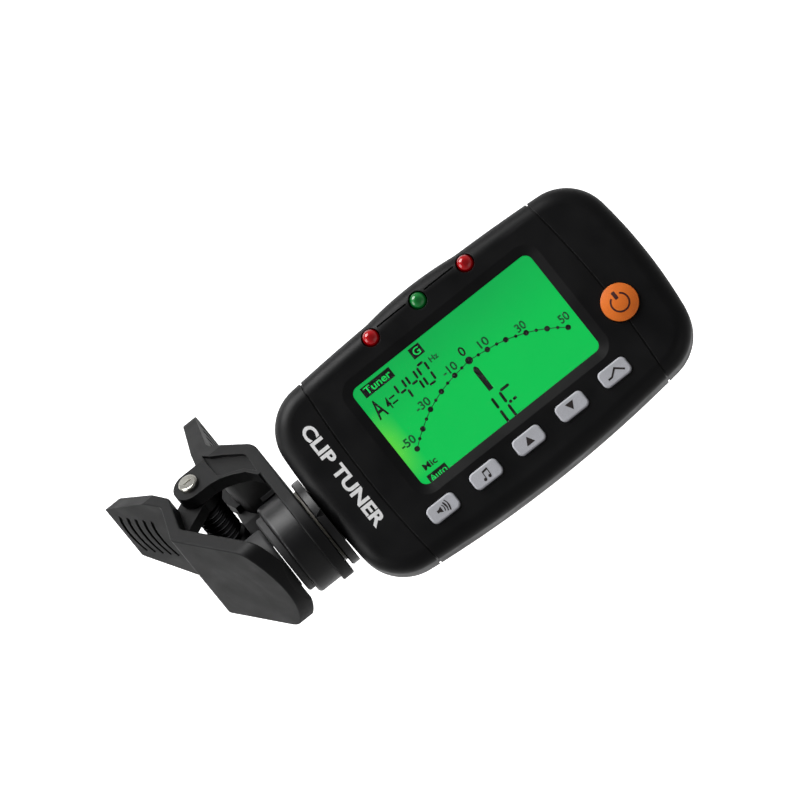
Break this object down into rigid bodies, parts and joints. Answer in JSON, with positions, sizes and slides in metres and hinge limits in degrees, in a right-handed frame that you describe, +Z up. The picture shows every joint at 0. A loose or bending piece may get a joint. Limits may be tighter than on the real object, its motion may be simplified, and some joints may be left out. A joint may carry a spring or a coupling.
{
  "type": "clip on tuner",
  "caption": "Clip-on instrument tuner: a backlit display pod with keys and lights, swivelling on a sprung clip with rubber pads.",
  "frame": {"origin": "centre of the fixed gripping pad's face, on the swivel axis", "axes": "+X along the swivel axis into the display pod, which is the long way; the display faces -Y; +Z up across the pod's width"},
  "size_m": [0.1019, 0.0415, 0.0497],
  "materials": {
    "jaw_plastic": "satin moulded black",
    "pad_rubber": "soft matt rubber",
    "pickup_brass": "plain",
    "pin_steel": "bright plated",
    "spring_steel": "bright drawn wire",
    "washer_nylon": "plain nylon",
    "lead_sleeve": "thin vinyl sleeve",
    "shell_plastic": "fine soft-touch black",
    "lens_clear": "clear polished",
    "lcd_glass": "clear over green light",
    "frame_plastic": "plain moulded",
    "backlight_green": "lit green light guide",
    "zebra_rubber": "layered elastomer",
    "board_green": "solder mask",
    "led_red": "tinted clear resin",
    "led_green": "tinted clear resin",
    "key_grey": "satin silver grey",
    "power_orange": "satin orange",
    "switch_metal": "plain",
    "cell_steel": "fine brushed",
    "contact_steel": "plated spring strip",
    "screw_steel": "dark plated"
  },
  "bodies": {
    "clip": {"fixed_jaw": "jaw_plastic", "fixed_pad": "pad_rubber", "sensor_drum": "jaw_plastic", "piezo_disc": "pickup_brass", "pivot_pin": "pin_steel", "pin_retainer": "pin_steel", "torsion_spring": "spring_steel"},
    "jaw": {"moving_jaw": "jaw_plastic", "moving_pad": "pad_rubber"},
    "pod": {"swivel_post": "jaw_plastic", "friction_washer": "washer_nylon", "retaining_ring": "pin_steel", "piezo_lead": "lead_sleeve", "front_shell": "shell_plastic", "rear_shell": "shell_plastic", "window_lens": "lens_clear", "lcd_glass": "lcd_glass", "lcd_frame": "frame_plastic", "backlight": "backlight_green", "zebra_strips": "zebra_rubber", "circuit_board": "board_green", "led_flat": "led_red", "led_in_tune": "led_green", "led_sharp": "led_red", "tact_switches": "switch_metal", "coin_cell": "cell_steel", "battery_holder": "frame_plastic", "battery_contacts": "contact_steel", "sounder": "frame_plastic", "microphone": "cell_steel", "controller_chip": "frame_plastic", "housing_screws": "screw_steel"},
    "door": {"battery_door": "shell_plastic"},
    "key_sound_body": {"key_sound": "key_grey"},
    "key_note_body": {"key_note": "key_grey"},
    "key_up_body": {"key_up": "key_grey"},
    "key_down_body": {"key_down": "key_grey"},
    "key_tap_body": {"key_tap": "key_grey"},
    "power_button_body": {"power_button": "power_orange"}
  },
  "joints": [
    {"name": "jaw_pivot", "type": "hinge", "parent": "clip", "child": "jaw", "pos_m": [-0.0051, 0.01336, 0.01336], "axis": [0, 0.7071, -0.7071], "range_deg": [0, 40], "stiffness_Nm_per_rad": 0.3, "springref_deg": -34.38, "deforming": ["torsion_spring"]},
    {"name": "swivel", "type": "hinge", "parent": "clip", "child": "pod", "pos_m": [0, 0, 0], "axis": [1, 0, 0], "range_deg": [-180, 180]},
    {"name": "battery_door_turn", "type": "hinge", "parent": "pod", "child": "door", "pos_m": [0.0414, 0.008, 0.0015], "axis": [0, 1, 0], "range_deg": [0, 60]},
    {"name": "key_sound_press", "type": "slide", "parent": "pod", "child": "key_sound_body", "axis": [0, 1, 0], "range_m": [0, 0.00035], "stiffness_N_per_m": 1500, "springref_m": -0.0005},
    {"name": "key_note_press", "type": "slide", "parent": "pod", "child": "key_note_body", "axis": [0, 1, 0], "range_m": [0, 0.00035], "stiffness_N_per_m": 1500, "springref_m": -0.0005},
    {"name": "key_up_press", "type": "slide", "parent": "pod", "child": "key_up_body", "axis": [0, 1, 0], "range_m": [0, 0.00035], "stiffness_N_per_m": 1500, "springref_m": -0.0005},
    {"name": "key_down_press", "type": "slide", "parent": "pod", "child": "key_down_body", "axis": [0, 1, 0], "range_m": [0, 0.00035], "stiffness_N_per_m": 1500, "springref_m": -0.0005},
    {"name": "key_tap_press", "type": "slide", "parent": "pod", "child": "key_tap_body", "axis": [0, 1, 0], "range_m": [0, 0.00035], "stiffness_N_per_m": 1500, "springref_m": -0.0005},
    {"name": "power_button_press", "type": "slide", "parent": "pod", "child": "power_button_body", "axis": [0, 1, 0], "range_m": [0, 0.00035], "stiffness_N_per_m": 1500, "springref_m": -0.0005}
  ]
}
